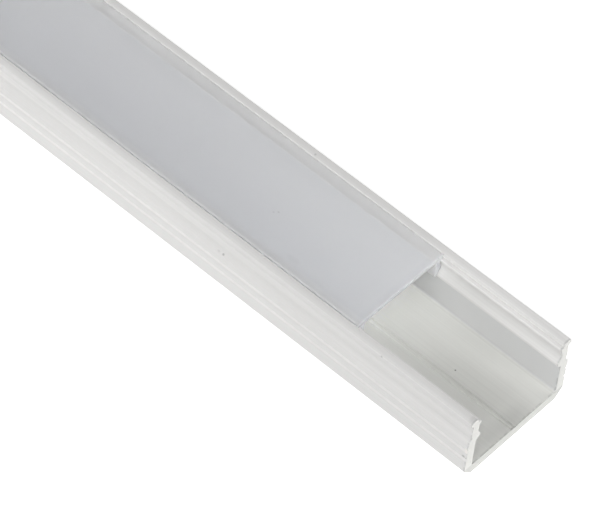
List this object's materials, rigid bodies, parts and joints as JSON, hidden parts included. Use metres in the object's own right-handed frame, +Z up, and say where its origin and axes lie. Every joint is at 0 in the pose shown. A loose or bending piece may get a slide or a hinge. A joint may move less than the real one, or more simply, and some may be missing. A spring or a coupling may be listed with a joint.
{
  "type": "led strip profile",
  "caption": "White lacquered U-shaped aluminium channel for an LED strip, with grooved sides and a frosted snap-in cover drawn back from its open end.",
  "frame": {"origin": "middle of the channel's flat underside", "axes": "+X along the bar, towards the end that the cover is drawn back from; +Y across the bar; +Z up, out of the channel's open side"},
  "size_m": [0.318, 0.017, 0.0102],
  "materials": {
    "white_lacquer": "white satin lacquer on aluminium",
    "frosted_cover": "frosted, translucent"
  },
  "bodies": {
    "channel": {"channel_profile": "white_lacquer"},
    "cover": {"diffuser_cover": "frosted_cover"}
  },
  "joints": [
    {"name": "cover_slide", "type": "slide", "parent": "channel", "child": "cover", "axis": [1, 0, 0], "range_m": [-0.282, 0.318]}
  ]
}
